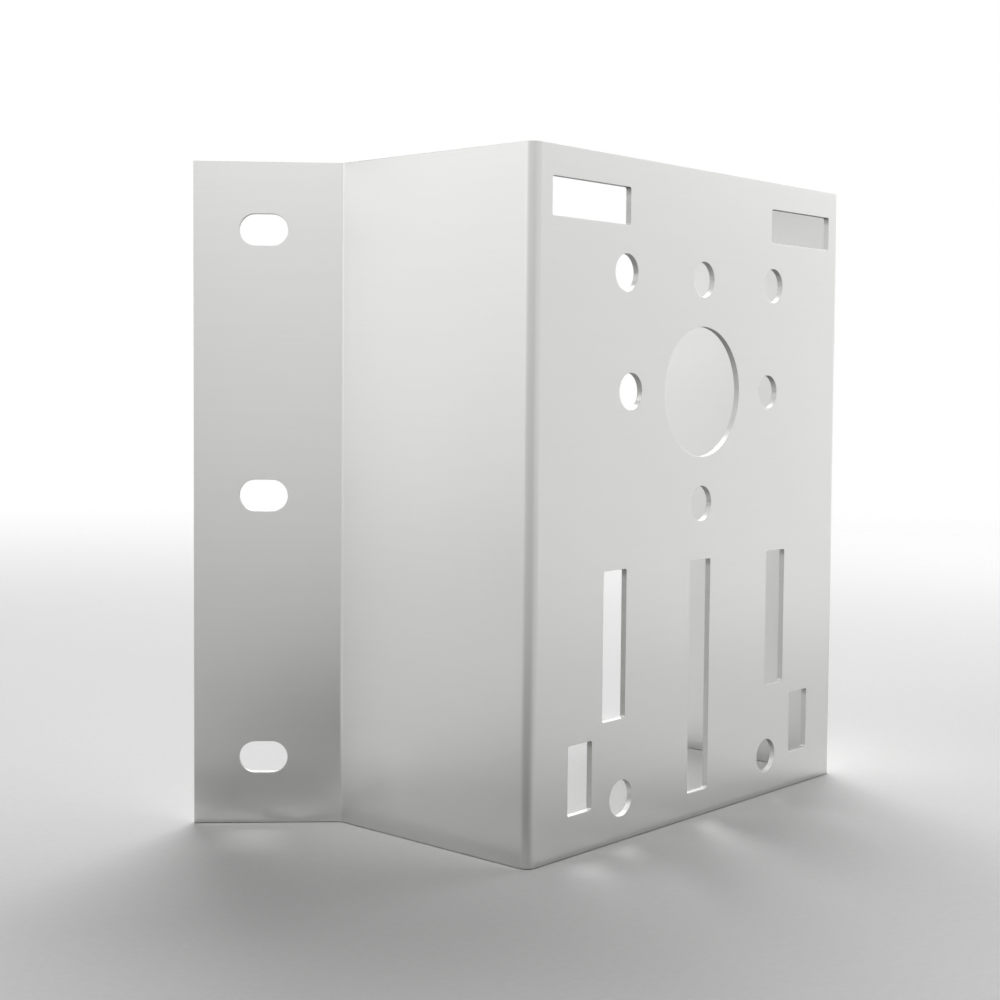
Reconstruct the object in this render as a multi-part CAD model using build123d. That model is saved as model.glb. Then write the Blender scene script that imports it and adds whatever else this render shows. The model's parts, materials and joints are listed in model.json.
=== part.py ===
from build123d import *
import os
from math import cos, radians, sin

# Camera corner mount bracket: one folded steel sheet that straddles the outside corner of a wall.
# +Z is up and the front plate faces -Y. The origin is the centre of the bracket's footprint.
# Millimetres and degrees.

# The folded sheet
sheet = 2.0
bracket_height = 220.0
plate_width = 178.0
web_depth = 83.0
wall_flange_length = 49.0
wall_flange_turn = 45.0
inner_bend_radius = 1.5

# Slots in the wall flanges, for the anchors
wall_slot_length = 16.0
wall_slot_width = 10.5
wall_slot_from_fold = 26.0
wall_slot_end_margin = 22.2
wall_slot_rows = 3

# Round holes in the front plate, for the camera and its cable
camera_hole_diameter = 12.0
cable_hole_diameter = 44.0
upper_row_below_top = 36.5
bottom_row_height = 14.0
corner_hole_side_margin = 46.0
upright_hole_spacing = 75.8
side_hole_spacing = 80.5

# Band slots near the top corners of the front plate
band_slot_length = 39.0
band_slot_height = 12.0
band_slot_side_margin = 8.7
band_slot_below_top = 9.4

# Upright adjusting slots below the holes
adjusting_slot_width = 12.0
adjusting_slots_below_hole = 19.2
side_slot_above_bottom_row = 26.0
middle_slot_bottom_margin = 8.7

# Short slots in the lower corners of the front plate
corner_slot_width = 12.0
corner_slot_height = 22.2
corner_slot_side_margin = 18.7
corner_slot_bottom_margin = 12.9

# Radius that the cutter leaves in the corners of the square slots
slot_corner_radius = 0.8

turn = radians(wall_flange_turn)
half_width = plate_width / 2
overall_depth = web_depth + wall_flange_length * cos(turn) + sheet * sin(turn)
front_y = -overall_depth / 2
rear_fold_y = front_y + web_depth
upper_row = bracket_height - upper_row_below_top
cable_hole_height = upper_row - upright_hole_spacing / 2
lower_hole_height = upper_row - upright_hole_spacing


def folded_sheet():
    """The bent section, drawn on the visible face from one free edge to the other, and drawn up."""
    free_edge_x = half_width + wall_flange_length * sin(turn)
    free_edge_y = rear_fold_y + wall_flange_length * cos(turn)
    left_bends = [
        (-free_edge_x, free_edge_y),
        (-half_width, rear_fold_y),
        (-half_width, front_y),
    ]
    right_bends = [(-x, y) for x, y in reversed(left_bends)]
    outer_bend_radius = inner_bend_radius + sheet
    bend_radii = [inner_bend_radius, outer_bend_radius, outer_bend_radius, inner_bend_radius]
    with BuildPart() as blank:
        with BuildSketch():
            with BuildLine():
                FilletPolyline(*left_bends, *right_bends, radius=bend_radii)
                offset(amount=sheet, side=Side.LEFT)
            make_face()
        extrude(amount=bracket_height)
    return blank.part


def on_both_sides(offset_from_middle, height):
    """A place on the front plate and its mirror image about the bracket's middle."""
    return [(-offset_from_middle, height), (offset_from_middle, height)]


def square_slot(width, height):
    """A slot with the small corner radius of the cutter, or less where the slot is narrow."""
    corner = min(slot_corner_radius, width / 4, height / 4)
    RectangleRounded(width, height, corner)


def round_holes():
    """The cable hole with a pair beside it and a pair astride it, and four near the corners."""
    with Locations((0, cable_hole_height)):
        Circle(cable_hole_diameter / 2)
    places = on_both_sides(side_hole_spacing / 2, cable_hole_height)
    places += [(0, upper_row), (0, lower_hole_height)]
    corner_hole_x = half_width - corner_hole_side_margin
    places += on_both_sides(corner_hole_x, upper_row)
    places += on_both_sides(corner_hole_x, bottom_row_height)
    with Locations(*places):
        Circle(camera_hole_diameter / 2)


def band_slots():
    """The two slots across the top, as far in from the sides as each other."""
    middle = half_width - band_slot_side_margin - band_slot_length / 2
    height = bracket_height - band_slot_below_top - band_slot_height / 2
    with Locations(*on_both_sides(middle, height)):
        square_slot(band_slot_length, band_slot_height)


def adjusting_slots():
    """Three upright slots with level tops: the outer two line up with the band slots' inner ends."""
    top = lower_hole_height - adjusting_slots_below_hole
    side_bottom = bottom_row_height + side_slot_above_bottom_row
    inner_end = half_width - band_slot_side_margin - band_slot_length
    side_places = on_both_sides(inner_end + adjusting_slot_width / 2, (top + side_bottom) / 2)
    with Locations(*side_places):
        square_slot(adjusting_slot_width, top - side_bottom)
    with Locations((0, (top + middle_slot_bottom_margin) / 2)):
        square_slot(adjusting_slot_width, top - middle_slot_bottom_margin)


def corner_slots():
    """The two short upright slots outside the bottom pair of holes."""
    middle = half_width - corner_slot_side_margin - corner_slot_width / 2
    height = corner_slot_bottom_margin + corner_slot_height / 2
    with Locations(*on_both_sides(middle, height)):
        square_slot(corner_slot_width, corner_slot_height)


def front_plate_cutter():
    """All openings of the front plate, drawn on its outer face and carried well past both sides."""
    outer_face = Plane((0, front_y, 0), x_dir=(1, 0, 0), z_dir=(0, -1, 0))
    with BuildPart() as cutter:
        with BuildSketch(outer_face):
            round_holes()
            band_slots()
            adjusting_slots()
            corner_slots()
        extrude(amount=2 * sheet, both=True)
    return cutter.part


def wall_flange_cutter():
    """The column of level anchor slots in the left wall flange, carried well past both sides."""
    visible_face = Plane(
        (-half_width, rear_fold_y, 0),
        x_dir=(sin(turn), -cos(turn), 0),
        z_dir=(-cos(turn), -sin(turn), 0),
    )
    slot_pitch = (bracket_height - 2 * wall_slot_end_margin) / (wall_slot_rows - 1)
    with BuildPart() as cutter:
        with BuildSketch(visible_face):
            with Locations((-wall_slot_from_fold, bracket_height / 2)):
                with GridLocations(0, slot_pitch, 1, wall_slot_rows):
                    SlotOverall(wall_slot_length, wall_slot_width)
        extrude(amount=2 * sheet, both=True)
    return cutter.part


def corner_bracket():
    """The folded sheet with its openings: one solid."""
    left_slots = wall_flange_cutter()
    right_slots = left_slots.mirror(Plane.YZ)
    return folded_sheet() - front_plate_cutter() - left_slots - right_slots


os.makedirs("parts", exist_ok=True)
export_step(corner_bracket(), "parts/corner_bracket.step")
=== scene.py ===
"""The folded steel corner bracket, with its satin finish, in a plain pale studio."""
import json
from math import cos, pi, radians, sin

import bpy
import numpy as np
from bpy.props import FloatProperty, FloatVectorProperty, PointerProperty
from mathutils import Matrix, Vector


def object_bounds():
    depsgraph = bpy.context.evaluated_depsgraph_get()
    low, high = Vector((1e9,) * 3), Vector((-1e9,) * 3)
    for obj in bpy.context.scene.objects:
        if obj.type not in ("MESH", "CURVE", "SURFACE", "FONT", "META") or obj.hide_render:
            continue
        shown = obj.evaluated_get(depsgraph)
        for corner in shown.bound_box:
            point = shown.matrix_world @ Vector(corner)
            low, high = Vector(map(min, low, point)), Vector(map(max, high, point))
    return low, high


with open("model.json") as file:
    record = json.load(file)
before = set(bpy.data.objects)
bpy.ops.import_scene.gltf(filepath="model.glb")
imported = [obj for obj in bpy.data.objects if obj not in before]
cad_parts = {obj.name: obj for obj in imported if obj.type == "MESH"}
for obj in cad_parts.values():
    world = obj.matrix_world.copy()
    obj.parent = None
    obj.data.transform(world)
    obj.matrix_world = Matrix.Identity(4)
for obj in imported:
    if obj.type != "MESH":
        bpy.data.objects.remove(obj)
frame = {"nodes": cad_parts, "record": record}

bl_info = {
    "name": "Corner bracket",
    "version": (1, 0, 0),
    "blender": (4, 5, 0),
    "location": "3D View > Sidebar > Bracket",
    "description": "Gives the folded corner bracket its satin steel and sets up its studio",
    "category": "Object",
}

CAD_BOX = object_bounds()
BRACKET = "corner_bracket"

# Places on the bracket, in metres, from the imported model
MOUNTS = {mount["name"]: mount for mount in frame["record"]["mounts"]}
FRONT_FACE = CAD_BOX[0].y
SHEET = MOUNTS["cable_hole"]["dims"]["length_mm"] / 1000

# The wall flanges turn outwards by this angle. All steel that is more than this many bend radii
# outside the webs belongs to them.
FLANGE_TURN = radians(45)
FLANGE_MARGIN = 3

# A wall is cut where less than this part of its direction points out of the sheet's face, or more
# than this part points up or down
CUT_LIMIT = 0.5

# The parts of a fold's direction over which its painted shade and its extra roughness set in:
# off the web, and off the plate
FOLD_OFF_WEB = (0.05, 0.4)
FOLD_OFF_PLATE = (0.3, 0.7)

# How far the colours of the grain and of the cut walls' stripes stray from their middle, and how
# much darker than the floor its fibres are
GRAIN_CONTRAST = 0.01
STRIPE_CONTRAST = 0.04
FIBRE_CONTRAST = 0.015

# Size of the soft clouds in the faces' gloss, and of the fibres in the floor's paper
CLOUD_SIZE = 0.055
FIBRE_SIZE = 0.0025

# Of the grain's hairlines, how much larger the coarse ones are and how much the fine ones count
COARSE_LENGTH = 4
COARSE_PITCH = 5
FINE_SHARE = 0.7

# All noise lies round its middle. These ranges of it spread over the whole of a colour or gloss.
NOISE_MIDDLE = 0.5
GRAIN_SPREAD = (0.3, 0.7)
STRIPE_SPREAD = (0.35, 0.65)
STRIPE_GLOSS_SPREAD = (0.3, 0.7)
FIBRE_SPREAD = (0.4, 0.6)

# How much detail noise has, and how rough the hairlines' noise is
RICH_DETAIL = 3.0
PLAIN_DETAIL = 2.0
HAIRLINE_ROUGHNESS = 0.6

# How far clouds, grain and the front folds change the faces' roughness, the cut walls' range, and
# the roughness of matt paper and cards
CLOUD_ROUGHNESS = 0.06
GRAIN_ROUGHNESS = 0.04
FOLD_ROUGHNESS = 0.14
CUT_ROUGHNESS = (0.4, 0.55)
MATT_ROUGHNESS = 0.9

# How unevenly the steel blurs what it reflects: sideways more than up and down
SIDEWAYS_BLUR = 0.4

# How far down a cut wall faces where its painted shade starts, and where it is darkest
UNDERSIDE = (0.1, 0.8)

# How far below its level top a square slot's walls get painted shade: in full, and at all
SLOT_TOP_FULL = 0.001
SLOT_TOP_REACH = 0.003

# The grain's relief: how deep it is, and how much of it shows
GRAIN_DEPTH = 0.00002
GRAIN_STRENGTH = 0.05

# How many rays the dulling of the sheared edges takes
EDGE_SAMPLES = 4

# The floor lies just under the sheet, and thins out between these shares of its radius
FLOOR_HEIGHT = -0.0002
FLOOR_RINGS = 8
FLOOR_SPOKES = 96
FADE_START = 0.3
FADE_END = 0.95

# Headings round the bracket: 0 is in front of the plate, and 90 degrees is on its right. Seen from
# the camera, the plate mirrors the room on its right, the web mirrors the room on the left and
# behind, and the wall flange mirrors the camera's own side.
PLATE_SIDE = radians(80)
WEB_SIDE = radians(-113)
CAMERA_SIDE = radians(-50)

# The upright boxes of the plate and the web: how far off they stand, the heights of the low and the
# high ones, and their widths. The one that the flange mirrors stands further off and higher.
BOX_DISTANCE = 1.2
LOW_HEIGHTS = (0, 0.4)
HIGH_HEIGHTS = (0.4, 1.0)
PLATE_BOX_WIDTH = 0.8
WEB_BOX_WIDTH = 1.0
FLANGE_BOX_DISTANCE = 1.4
FLANGE_BOX_HEIGHTS = (0.5, 1.3)
FLANGE_BOX_WIDTH = 1.2

# The boxes that hang above the bracket: their places, and the widths of their sides
KEY_PLACE = (1.4, 1.18, 2.1)
FILL_PLACE = (-1.2, 1.0, 2.0)
RIGHT_PLACE = (1.3, -0.5, 1.7)
BACK_WIDTH = 1.8
RIGHT_WIDTH = 1.2

# The cards on the floor: the height at which they lie, and for each glowing one, under the name of
# its brightness, its middle and its size
CARD_HEIGHT = 0.001
GLOWING_CARDS = {
    "plate_card": ((0.157, -0.25), (0.485, 0.379)),
    "far_card": ((0.6, -0.45), (0.5, 0.5)),
    "web_card": ((-0.36, 0.32), (0.44, 0.4)),
    "foot_card": ((-0.13, 0.13), (0.33, 0.18)),
    "near_card": ((-0.125, -0.012), (0.05, 0.09)),
    "inner_card": ((0.0, 0.03), (0.16, 0.16)),
}

# The black cards: the corners of the one on the floor, and the ends and heights of the upright
# ones. A narrow one on the left of the web dims it towards its front fold, one behind the left wall
# flange dims the inner faces near their top, and a low one, mostly clear, dims that flange's foot.
BLACK_SHADE = (0.05, 0.05, 0.05, 1.0)
FLOOR_BLACK = ((-0.098, -0.078), (-0.15, -0.04), (-0.27, -0.06), (-0.20, -0.24))
WEB_BLACK = ((-0.2095, 0.023), (-0.2065, 0.032))
WEB_BLACK_HEIGHTS = (0.06, 0.3)
INNER_BLACK = ((-0.127, 0.068), (-0.087, 0.122))
INNER_BLACK_HEIGHTS = (0.23, 0.4)
FOOT_BLACK = ((-0.105, 0.012), (-0.140, 0.047))
FOOT_BLACK_HEIGHTS = (0.0, 0.015)
FOOT_BLACK_CLEAR = 0.68

# The white around the bracket, and the camera's sensor in millimetres and nearest sight in metres
WHITE = (1.0, 1.0, 1.0, 1.0)
SENSOR_WIDTH = 36
NEAREST_SIGHT = 0.01


class SatinSteel(bpy.types.PropertyGroup):
    """The finish of the rolled faces and of the cut walls, and the shade painted on folds and
    walls.
    """

    face_colour: FloatVectorProperty(
        name="Face colour",
        description="Colour of the rolled and lightly brushed faces",
        subtype="COLOR",
        default=(0.625, 0.625, 0.615),
        min=0,
        max=1,
    )
    cut_colour: FloatVectorProperty(
        name="Cut colour",
        description="Colour of the cut walls of the holes, slots and outer edges",
        subtype="COLOR",
        default=(0.56, 0.56, 0.55),
        min=0,
        max=1,
    )
    roughness: FloatProperty(
        name="Roughness",
        description="How much the faces blur what they reflect",
        default=0.36,
        min=0,
        max=1,
        subtype="FACTOR",
    )
    # Painted shade: the share of its brightness that the colour keeps along the front folds
    fold_shade: FloatProperty(
        name="Fold shade",
        description="How much of its brightness the stretched skin of the front folds keeps",
        default=0.84,
        min=0,
        max=1,
        subtype="FACTOR",
    )
    # Painted shade: the share of its brightness that a cut wall keeps where it faces down
    underside_shade: FloatProperty(
        name="Underside shade",
        description="How much of its brightness a cut wall keeps where it faces down",
        default=0.5,
        min=0,
        max=1,
        subtype="FACTOR",
    )
    # Painted shade: the share of its brightness that a square slot's wall keeps just below its top
    slot_top_shade: FloatProperty(
        name="Slot top shade",
        description="How much of its brightness a square slot's wall keeps just below its top",
        default=0.66,
        min=0,
        max=1,
        subtype="FACTOR",
    )
    grain_pitch: FloatProperty(
        name="Grain pitch",
        description="Height of one hairline of the level grain",
        default=0.00035,
        unit="LENGTH",
    )
    grain_length: FloatProperty(
        name="Grain length",
        description="Length of one hairline of the level grain",
        default=0.03,
        unit="LENGTH",
    )
    stripe_pitch: FloatProperty(
        name="Stripe pitch",
        description="Width of one stripe that the cutter leaves on a cut wall",
        default=0.00038,
        unit="LENGTH",
    )
    stripe_length: FloatProperty(
        name="Stripe length",
        description="Length of one stripe, through the sheet",
        default=0.0033,
        unit="LENGTH",
    )
    edge_break: FloatProperty(
        name="Edge break",
        description="Width over which the sheared edges are dulled",
        default=0.00025,
        unit="LENGTH",
    )
    plate_half_width: FloatProperty(
        name="Half width of the plate",
        description="From the bracket's middle to the outer face of a web",
        default=0.089,
        unit="LENGTH",
    )
    outer_bend_radius: FloatProperty(
        name="Outer bend radius",
        description="Radius of the front folds on their outside",
        default=0.0035,
        unit="LENGTH",
    )
    band_slot_top: FloatProperty(
        name="Top of the band slots",
        description="Height of the upper edge of the two level slots",
        default=0.2106,
        unit="LENGTH",
    )
    adjusting_slot_top: FloatProperty(
        name="Top of the adjusting slots",
        description="Height of the upper ends of the three upright slots",
        default=0.0885,
        unit="LENGTH",
    )
    corner_slot_top: FloatProperty(
        name="Top of the corner slots",
        description="Height of the upper ends of the two short slots",
        default=0.0351,
        unit="LENGTH",
    )
    corner_slot_start: FloatProperty(
        name="Start of the corner slots",
        description="From the bracket's middle to a place between the middle and corner slots",
        default=0.03,
        unit="LENGTH",
    )


class Studio(bpy.types.PropertyGroup):
    """The floor, the white surroundings and the camera."""

    floor_colour: FloatVectorProperty(
        name="Floor colour",
        description="Colour of the floor near the bracket",
        subtype="COLOR",
        default=(0.85, 0.85, 0.85),
        min=0,
        max=1,
    )
    floor_radius: FloatProperty(
        name="Floor radius",
        description="Where the floor has faded into the white around it",
        default=1.6,
        unit="LENGTH",
    )
    ambient: FloatProperty(
        name="Ambient light",
        description="Strength of the white surroundings as a lamp",
        default=0.02,
        min=0,
    )
    camera_place: FloatVectorProperty(
        name="Camera place",
        description="Where the camera stands, in the bracket's frame",
        subtype="TRANSLATION",
        default=(-0.4668, -0.3827, 0.1467),
    )
    camera_heading: FloatProperty(
        name="Camera heading",
        description="How far the camera turns from looking square at the front plate",
        default=radians(48.37),
        subtype="ANGLE",
    )
    camera_dip: FloatProperty(
        name="Camera dip",
        description="How far the camera looks down",
        default=radians(3.04),
        subtype="ANGLE",
    )
    camera_roll: FloatProperty(
        name="Camera roll",
        description="How far the camera leans to its left",
        default=radians(0.476),
        subtype="ANGLE",
    )
    focal_length: FloatProperty(
        name="Focal length",
        description="Focal length on a 36 mm wide sensor, in millimetres",
        default=59.74,
        subtype="DISTANCE_CAMERA",
    )
    vertical_shift: FloatProperty(
        name="Vertical shift",
        description="Shift of the lens, as a share of the picture's height",
        default=-0.025,
    )


def brightness(name, description, default):
    """How much brighter than the surroundings a lamp's face looks, where 1 is white."""
    return FloatProperty(name=name, description=description, default=default, min=0)


class Lamps(bpy.types.PropertyGroup):
    """The brightness of each lamp and of each glowing card."""

    key: brightness("Key", "Large softbox high behind the bracket, on the right", 5.6)
    fill: brightness("Fill", "Large softbox high behind the bracket, on the left", 0.6)
    right: brightness("Right", "Softbox high in front of the bracket, on the right", 1.0)
    plate_low: brightness("Plate, low", "Upright box that the plate's lower half mirrors", 0.68)
    plate_high: brightness("Plate, high", "Upright box that the plate's upper half mirrors", 2.1)
    web_low: brightness("Web, low", "Upright box that the web's lower half mirrors", 0.47)
    web_high: brightness("Web, high", "Upright box that the web's upper half mirrors", 1.08)
    flange_high: brightness("Flange, high", "Upright box that the flange's top mirrors", 0.9)
    plate_card: brightness("Plate card", "Card on the floor in front of the plate", 0.13)
    far_card: brightness("Far card", "Card on the floor far in front of the plate", 0.5)
    web_card: brightness("Web card", "Card on the floor on the left of the bracket", 0.2)
    foot_card: brightness("Foot card", "Card on the floor along the left wall flange", 0.15)
    near_card: brightness("Near card", "Small card on the floor beside the left web", 0.17)
    inner_card: brightness("Inner card", "Card on the floor between the webs", 0.12)


class Wire:
    """A number that varies over a surface: sums written with it add their Math nodes."""

    def __init__(self, board, socket):
        self.board = board
        self.socket = socket

    def maths(self, operation, *values):
        return self.board.node("ShaderNodeMath", {"operation": operation}, *values)

    def __add__(self, other):
        return self.maths("ADD", self, other)

    def __sub__(self, other):
        return self.maths("SUBTRACT", self, other)

    def __rsub__(self, other):
        return self.maths("SUBTRACT", other, self)

    def __mul__(self, other):
        return self.maths("MULTIPLY", self, other)

    def __abs__(self):
        return self.maths("ABSOLUTE", self)

    def __lt__(self, other):
        return self.maths("LESS_THAN", self, other)

    def __gt__(self, other):
        return self.maths("GREATER_THAN", self, other)

    __radd__ = __add__
    __rmul__ = __mul__

    def larger(self, other):
        return self.maths("MAXIMUM", self, other)

    def within(self, low, high, new_low=0.0, new_high=1.0):
        """Carries the range from low to high smoothly over to the new one, and no further."""
        spread = {"interpolation_type": "SMOOTHSTEP"}
        return self.board.node(
            "ShaderNodeMapRange", spread, self, low, high, new_low, new_high
        )


class Board:
    """The nodes of one material or of the surroundings."""

    def __init__(self, tree):
        self.tree = tree
        tree.nodes.clear()

    def node(self, kind, settings=None, *values, output=0, **named):
        """Adds a node: its settings first, then the values or wires of its sockets."""
        made = self.tree.nodes.new(kind)
        for setting, value in (settings or {}).items():
            setattr(made, setting, value)
        pairs = list(enumerate(values))
        pairs += [(name.replace("_", " "), value) for name, value in named.items()]
        for place, value in pairs:
            if isinstance(value, Wire):
                self.tree.links.new(value.socket, made.inputs[place])
            elif value is not None:
                made.inputs[place].default_value = value
        return Wire(self, made.outputs[output]) if made.outputs else made

    def blend(self, factor, first, second, kind="MIX"):
        """A colour between two others, or their product."""
        settings = {"data_type": "RGBA", "blend_type": kind}
        made = self.node("ShaderNodeMix", settings)
        mix = made.socket.node
        for place, value in (("Factor_Float", factor), ("A_Color", first), ("B_Color", second)):
            socket = next(s for s in mix.inputs if s.identifier == place)
            if isinstance(value, Wire):
                self.tree.links.new(value.socket, socket)
            else:
                socket.default_value = (*value, 1.0)
        result = next(s for s in mix.outputs if s.identifier == "Result_Color")
        return Wire(self, result)


def tinted(colour, share):
    """A colour made lighter by a share of itself, or darker by a negative one."""
    return [min(1.0, part * (1 + share)) for part in colour]


def stretched(board, vector, x, y, z):
    """A vector with each of its parts multiplied by a number."""
    return board.node("ShaderNodeMapping", None, vector, None, None, (x, y, z))


def fold_and_cut(board, settings, place, facing):
    """Where the front folds are painted darkest, and where the cut walls are.

    The painted shade is darkest from the web's side of a front fold to just past its middle. The
    cut walls are told from the faces by which way they point: the walls of a hole point along the
    sheet, and the top and bottom edges point up or down.
    """
    x = board.node("ShaderNodeSeparateXYZ", None, place, output=0)
    y = board.node("ShaderNodeSeparateXYZ", None, place, output=1)
    facing_x, facing_y, facing_z = (
        board.node("ShaderNodeSeparateXYZ", None, facing, output=part) for part in range(3)
    )
    outwards = abs(x)
    facing_out = facing_x * x.maths("SIGN", x)
    fold_start = settings.plate_half_width - settings.outer_bend_radius
    on_plate = outwards < fold_start - SHEET
    on_flange = outwards > settings.plate_half_width + FLANGE_MARGIN * settings.outer_bend_radius
    at_front = (outwards > fold_start) * (y < FRONT_FACE + settings.outer_bend_radius)
    across_plate = abs(facing_y)
    across_flange = abs(facing_out - facing_y) * cos(FLANGE_TURN)
    fold = at_front * across_plate.within(*FOLD_OFF_WEB) * facing_out.within(*FOLD_OFF_PLATE)
    plate_cut = on_plate * (across_plate < CUT_LIMIT)
    flange_cut = on_flange * (across_flange < CUT_LIMIT)
    cut = plate_cut.larger(flange_cut).larger(abs(facing_z) > CUT_LIMIT)
    return fold, cut, facing_z


def below_slot_tops(board, settings, place):
    """Where painted shade falls on the square slots' walls, just below the slots' level tops."""
    outwards = abs(board.node("ShaderNodeSeparateXYZ", None, place, output=0))
    z = board.node("ShaderNodeSeparateXYZ", None, place, output=2)

    def below(top):
        return z.within(top - SLOT_TOP_REACH, top - SLOT_TOP_FULL) * (z < top + SHEET)

    at_corner_slots = below(settings.corner_slot_top) * (outwards > settings.corner_slot_start)
    at_tops = below(settings.band_slot_top) + below(settings.adjusting_slot_top) + at_corner_slots
    return at_tops * (outwards < settings.plate_half_width)


def noise(board, place, detail, scale=1.0, roughness=None):
    """Smooth noise in spots about one unit of the given place wide, or smaller by the scale."""
    return board.node(
        "ShaderNodeTexNoise", None, place, Scale=scale, Detail=detail, Roughness=roughness
    )


def satin_steel(settings):
    """Satin stainless sheet: a faint level grain on the faces and dull striped cut walls, with
    shade painted on the front folds and on the cut walls that face down or lie below a slot's top.

    The grain is noise that changes fast up the sheet and slowly along it, and the stripes are
    noise that changes fast along a cut and slowly through the sheet.
    """
    material = bpy.data.materials.new("satin_steel")
    material.use_nodes = True
    board = Board(material.node_tree)
    place = board.node("ShaderNodeTexCoord", output=3)
    facing = board.node("ShaderNodeTexCoord", output=1)
    fold, cut, facing_z = fold_and_cut(board, settings, place, facing)

    along = 1 / settings.grain_length
    up = 1 / settings.grain_pitch
    fine_at = stretched(board, place, along, along, up)
    fine = noise(board, fine_at, RICH_DETAIL, roughness=HAIRLINE_ROUGHNESS)
    coarse_along = along / COARSE_LENGTH
    coarse_at = stretched(board, place, coarse_along, coarse_along, up / COARSE_PITCH)
    coarse = noise(board, coarse_at, PLAIN_DETAIL)
    grain = fine * FINE_SHARE + coarse * (1 - FINE_SHARE)
    clouds = noise(board, place, RICH_DETAIL, 1 / CLOUD_SIZE)

    across = 1 / settings.stripe_pitch
    stripes_at = stretched(board, place, across, 1 / settings.stripe_length, across)
    stripes = noise(board, stripes_at, PLAIN_DETAIL)

    dark = tinted(settings.face_colour, -GRAIN_CONTRAST)
    light = tinted(settings.face_colour, GRAIN_CONTRAST)
    face = board.blend(grain.within(*GRAIN_SPREAD), dark, light)
    # Painted shade: the front folds are darkened in colour
    face = board.blend(fold, face, [settings.fold_shade] * 3, "MULTIPLY")
    cut_dark = tinted(settings.cut_colour, -STRIPE_CONTRAST)
    cut_light = tinted(settings.cut_colour, STRIPE_CONTRAST)
    cut_face = board.blend(stripes.within(*STRIPE_SPREAD), cut_dark, cut_light)
    # Painted shade: cut walls that face down are darkened in colour
    underside = (0 - facing_z).within(*UNDERSIDE)
    cut_face = board.blend(underside, cut_face, [settings.underside_shade] * 3, "MULTIPLY")
    # Painted shade: the walls just below a square slot's level top are darkened in colour
    slot_tops = below_slot_tops(board, settings, place)
    cut_face = board.blend(slot_tops, cut_face, [settings.slot_top_shade] * 3, "MULTIPLY")
    colour = board.blend(cut, face, cut_face)

    face_roughness = settings.roughness + (clouds - NOISE_MIDDLE) * CLOUD_ROUGHNESS
    face_roughness = face_roughness + (grain - NOISE_MIDDLE) * GRAIN_ROUGHNESS
    face_roughness = face_roughness + fold * FOLD_ROUGHNESS
    cut_roughness = stripes.within(*STRIPE_GLOSS_SPREAD, *CUT_ROUGHNESS)
    roughness = face_roughness * (1 - cut) + cut_roughness * cut

    softened = board.node("ShaderNodeBevel", {"samples": EDGE_SAMPLES}, settings.edge_break)
    relief = grain * (1 - cut) + stripes * cut
    bumped = board.node(
        "ShaderNodeBump",
        None,
        Strength=GRAIN_STRENGTH,
        Distance=GRAIN_DEPTH,
        Height=relief,
        Normal=softened,
    )
    steel = board.node(
        "ShaderNodeBsdfPrincipled",
        None,
        Base_Color=colour,
        Metallic=1.0,
        Roughness=roughness,
        Anisotropic=SIDEWAYS_BLUR,
        Normal=bumped,
    )
    board.node("ShaderNodeOutputMaterial", None, steel)
    return material


def matt(board, colour):
    """A surface with no gloss."""
    return board.node(
        "ShaderNodeBsdfPrincipled",
        None,
        Base_Color=colour,
        Roughness=MATT_ROUGHNESS,
        Specular_IOR_Level=0.0,
    )


def pale_paper(settings):
    """Pale matt paper that thins out, far from the bracket, into the white around it."""
    material = bpy.data.materials.new("pale_paper")
    material.use_nodes = True
    board = Board(material.node_tree)
    place = board.node("ShaderNodeTexCoord", output=3)
    distance = board.node("ShaderNodeVectorMath", {"operation": "LENGTH"}, place, output=1)
    fibres = noise(board, place, PLAIN_DETAIL, 1 / FIBRE_SIZE)
    white = settings.floor_colour
    colour = board.blend(fibres.within(*FIBRE_SPREAD), tinted(white, -FIBRE_CONTRAST), white)
    clear = board.node("ShaderNodeBsdfTransparent")
    radius = settings.floor_radius
    fade = distance.within(radius * FADE_START, radius * FADE_END)
    thinned = board.node("ShaderNodeMixShader", None, fade, matt(board, colour), clear)
    board.node("ShaderNodeOutputMaterial", None, thinned)
    return material


def flat_piece(name, points, faces):
    """An object made of faces between points."""
    mesh = bpy.data.meshes.new(name)
    mesh.from_pydata(points, [], faces)
    mesh.update()
    made = bpy.data.objects.new(name, mesh)
    bpy.context.scene.collection.objects.link(made)
    return made


def disc(name, radius, height, rings, spokes):
    """A level disc: points at even angles on circles of evenly growing radius round its middle."""
    reach = np.linspace(0, 1, rings + 1)[1:] * radius
    angle = np.linspace(0, 2 * pi, spokes, endpoint=False)
    reach, angle = np.meshgrid(reach, angle, indexing="ij")
    ring_points = np.stack([reach * np.cos(angle), reach * np.sin(angle), np.zeros_like(angle)], -1)
    points = np.concatenate([np.zeros((1, 3)), ring_points.reshape(-1, 3)]) + [0, 0, height]
    here = np.arange(spokes)
    after = (here + 1) % spokes
    middle = np.stack([np.zeros_like(here), 1 + here, 1 + after], -1)
    inner = 1 + np.arange(rings - 1)[:, None] * spokes
    outer = inner + spokes
    quads = np.stack([inner + here, outer + here, outer + after, inner + after], -1)
    return flat_piece(name, points.tolist(), middle.tolist() + quads.reshape(-1, 4).tolist())


def black_card(name, points, clear=0.0):
    """A flat black card, one face between its corners, that only the steel sees.

    The share given as clear is how much light it lets through.
    """
    made = flat_piece(name, points, [tuple(range(len(points)))])
    material = bpy.data.materials.new(name)
    material.use_nodes = True
    board = Board(material.node_tree)
    through = board.node("ShaderNodeBsdfTransparent")
    smoked = board.node("ShaderNodeMixShader", None, clear, matt(board, BLACK_SHADE), through)
    board.node("ShaderNodeOutputMaterial", None, smoked)
    made.data.materials.append(material)
    made.visible_camera = False
    made.visible_diffuse = False
    made.visible_shadow = False


def upright_black_card(name, ends, heights, clear=0.0):
    """A black card that stands between two places, from one height to another."""
    low, high = heights
    start, end = ends
    black_card(name, [(*start, low), (*end, low), (*end, high), (*start, high)], clear)


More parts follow.
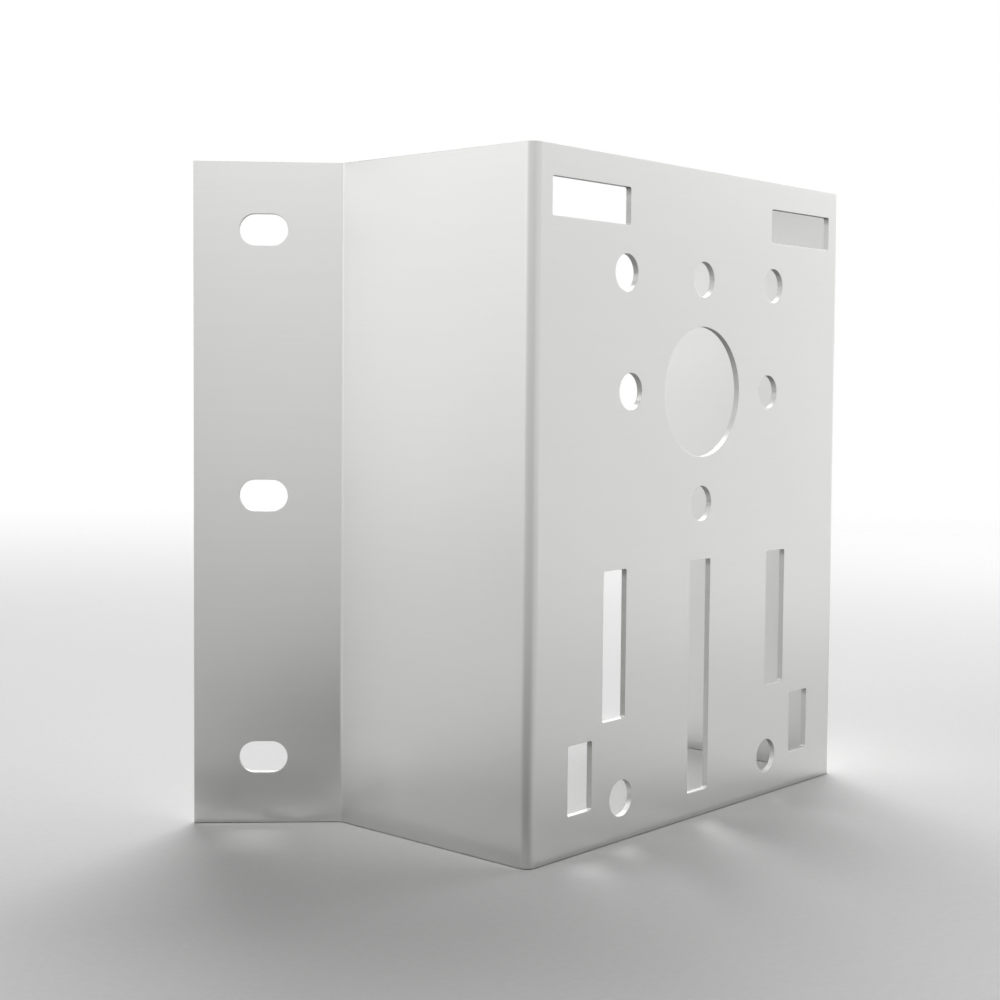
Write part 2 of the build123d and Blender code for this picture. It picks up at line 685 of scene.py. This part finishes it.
def softbox(name, place, target, width, height, strength):
    """A rectangular lamp that faces the target, unseen by the camera but seen in the steel.

    Its strength is how much brighter than the surroundings its face looks, where 1 is white.
    """
    lamp = bpy.data.lights.new(name, "AREA")
    lamp.shape = "RECTANGLE"
    lamp.size = width
    lamp.size_y = height
    lamp.energy = strength * pi * width * height
    made = bpy.data.objects.new(name, lamp)
    away = Vector(place) - Vector(target)
    turn = away.to_track_quat("Z", "Y").to_matrix().to_4x4()
    made.matrix_world = Matrix.Translation(place) @ turn
    made.visible_camera = False
    bpy.context.scene.collection.objects.link(made)


def upright_box(name, heading, width, heights, strength, distance=BOX_DISTANCE):
    """An upright softbox between two heights, on a circle round the bracket, facing its middle."""
    low, high = heights
    middle = (low + high) / 2
    place = Vector((sin(heading) * distance, -cos(heading) * distance, middle))
    softbox(name, place, (0, 0, middle), width, high - low, strength)


def high_box(name, place, width, strength):
    """A square softbox above the bracket, facing its foot."""
    softbox(name, place, (0, 0, 0), width, width, strength)


def floor_card(name, middle, size, strength):
    """A glowing card that lies on the floor and faces up."""
    x, y = middle
    width, depth = size
    softbox(name, (x, y, CARD_HEIGHT), (x, y, 1), width, depth, strength)


def hang_lamps(lamps):
    """The upright boxes draw the faces' long gradients. The high ones light ledges and floor."""
    upright_box("plate_box", PLATE_SIDE, PLATE_BOX_WIDTH, LOW_HEIGHTS, lamps.plate_low)
    upright_box("plate_box_high", PLATE_SIDE, PLATE_BOX_WIDTH, HIGH_HEIGHTS, lamps.plate_high)
    upright_box("web_box", WEB_SIDE, WEB_BOX_WIDTH, LOW_HEIGHTS, lamps.web_low)
    upright_box("web_box_high", WEB_SIDE, WEB_BOX_WIDTH, HIGH_HEIGHTS, lamps.web_high)
    upright_box(
        "flange_box",
        CAMERA_SIDE,
        FLANGE_BOX_WIDTH,
        FLANGE_BOX_HEIGHTS,
        lamps.flange_high,
        distance=FLANGE_BOX_DISTANCE,
    )
    high_box("key_box", KEY_PLACE, BACK_WIDTH, lamps.key)
    high_box("fill_box", FILL_PLACE, BACK_WIDTH, lamps.fill)
    high_box("right_box", RIGHT_PLACE, RIGHT_WIDTH, lamps.right)


def place_cards(lamps):
    """Glowing cards light the faces just above the floor. Black cards dim parts of the faces."""
    for name, (middle, size) in GLOWING_CARDS.items():
        floor_card(name, middle, size, getattr(lamps, name))
    black_card("floor_black", [(x, y, CARD_HEIGHT) for x, y in FLOOR_BLACK])
    upright_black_card("web_black", WEB_BLACK, WEB_BLACK_HEIGHTS)
    upright_black_card("inner_black", INNER_BLACK, INNER_BLACK_HEIGHTS)
    upright_black_card("foot_black", FOOT_BLACK, FOOT_BLACK_HEIGHTS, FOOT_BLACK_CLEAR)


def white_surroundings(settings):
    """White to the camera and in reflections, and a weaker lamp to everything else."""
    world = bpy.data.worlds.new("white_room")
    bpy.context.scene.world = world
    world.use_nodes = True
    board = Board(world.node_tree)
    camera_ray = board.node("ShaderNodeLightPath", output=0)
    glossy_ray = Wire(board, camera_ray.socket.node.outputs["Is Glossy Ray"])
    clear_ray = Wire(board, camera_ray.socket.node.outputs["Is Transmission Ray"])
    seen = camera_ray.larger(glossy_ray).larger(clear_ray)
    lamp = board.node("ShaderNodeBackground", None, WHITE, settings.ambient)
    white = board.node("ShaderNodeBackground", None, WHITE, 1.0)
    mixed = board.node("ShaderNodeMixShader", None, seen, lamp, white)
    board.node("ShaderNodeOutputWorld", None, mixed)


def place_camera(settings):
    """The camera of the photograph: it heads round the corner fold and looks slightly down."""
    heading, dip, roll = settings.camera_heading, settings.camera_dip, settings.camera_roll
    forward = Vector((sin(heading) * cos(dip), cos(heading) * cos(dip), -sin(dip)))
    right = Vector((cos(heading), -sin(heading), 0))
    up = right.cross(forward)
    leaning_right = right * cos(roll) + up * sin(roll)
    leaning_up = up * cos(roll) - right * sin(roll)
    turn = Matrix((leaning_right, leaning_up, -forward)).transposed().to_4x4()
    lens = bpy.data.cameras.new("camera")
    lens.sensor_width = SENSOR_WIDTH
    lens.lens = settings.focal_length
    lens.shift_y = settings.vertical_shift
    lens.clip_start = NEAREST_SIGHT
    made = bpy.data.objects.new("camera", lens)
    made.matrix_world = Matrix.Translation(Vector(settings.camera_place)) @ turn
    bpy.context.scene.collection.objects.link(made)
    bpy.context.scene.camera = made


class BRACKET_OT_sheet(bpy.types.Operator):
    """Give the folded sheet its satin steel"""

    bl_idname = "bracket.sheet"
    bl_label = "Folded sheet"

    def execute(self, context):
        node = frame["nodes"][BRACKET]
        node.data.materials.clear()
        node.data.materials.append(satin_steel(context.scene.bracket_steel))
        return {"FINISHED"}


class BRACKET_OT_stage(bpy.types.Operator):
    """Lay the floor, hang the lamps and place the camera"""

    bl_idname = "bracket.stage"
    bl_label = "Floor, lamps and camera"

    def execute(self, context):
        settings = context.scene.bracket_studio
        floor = disc("floor", settings.floor_radius, FLOOR_HEIGHT, FLOOR_RINGS, FLOOR_SPOKES)
        floor.data.materials.append(pale_paper(settings))
        white_surroundings(settings)
        hang_lamps(context.scene.bracket_lamps)
        place_cards(context.scene.bracket_lamps)
        place_camera(settings)
        context.scene.view_settings.view_transform = "Standard"
        return {"FINISHED"}


class BRACKET_PT_panel(bpy.types.Panel):
    """The steps, in the order in which they run"""

    bl_idname = "BRACKET_PT_panel"
    bl_label = "Corner bracket"
    bl_space_type = "VIEW_3D"
    bl_region_type = "UI"
    bl_category = "Bracket"

    def draw(self, context):
        for step in STEPS:
            self.layout.operator(step.bl_idname)


STEPS = (BRACKET_OT_sheet, BRACKET_OT_stage)
CLASSES = (SatinSteel, Studio, Lamps, *STEPS, BRACKET_PT_panel)


def register():
    for made in CLASSES:
        bpy.utils.register_class(made)
    bpy.types.Scene.bracket_steel = PointerProperty(type=SatinSteel)
    bpy.types.Scene.bracket_studio = PointerProperty(type=Studio)
    bpy.types.Scene.bracket_lamps = PointerProperty(type=Lamps)


def unregister():
    del bpy.types.Scene.bracket_lamps
    del bpy.types.Scene.bracket_studio
    del bpy.types.Scene.bracket_steel
    for made in reversed(CLASSES):
        bpy.utils.unregister_class(made)


def main():
    """Runs every step."""
    register()
    bpy.ops.bracket.sheet()
    bpy.ops.bracket.stage()


if __name__ == "__main__":
    main()
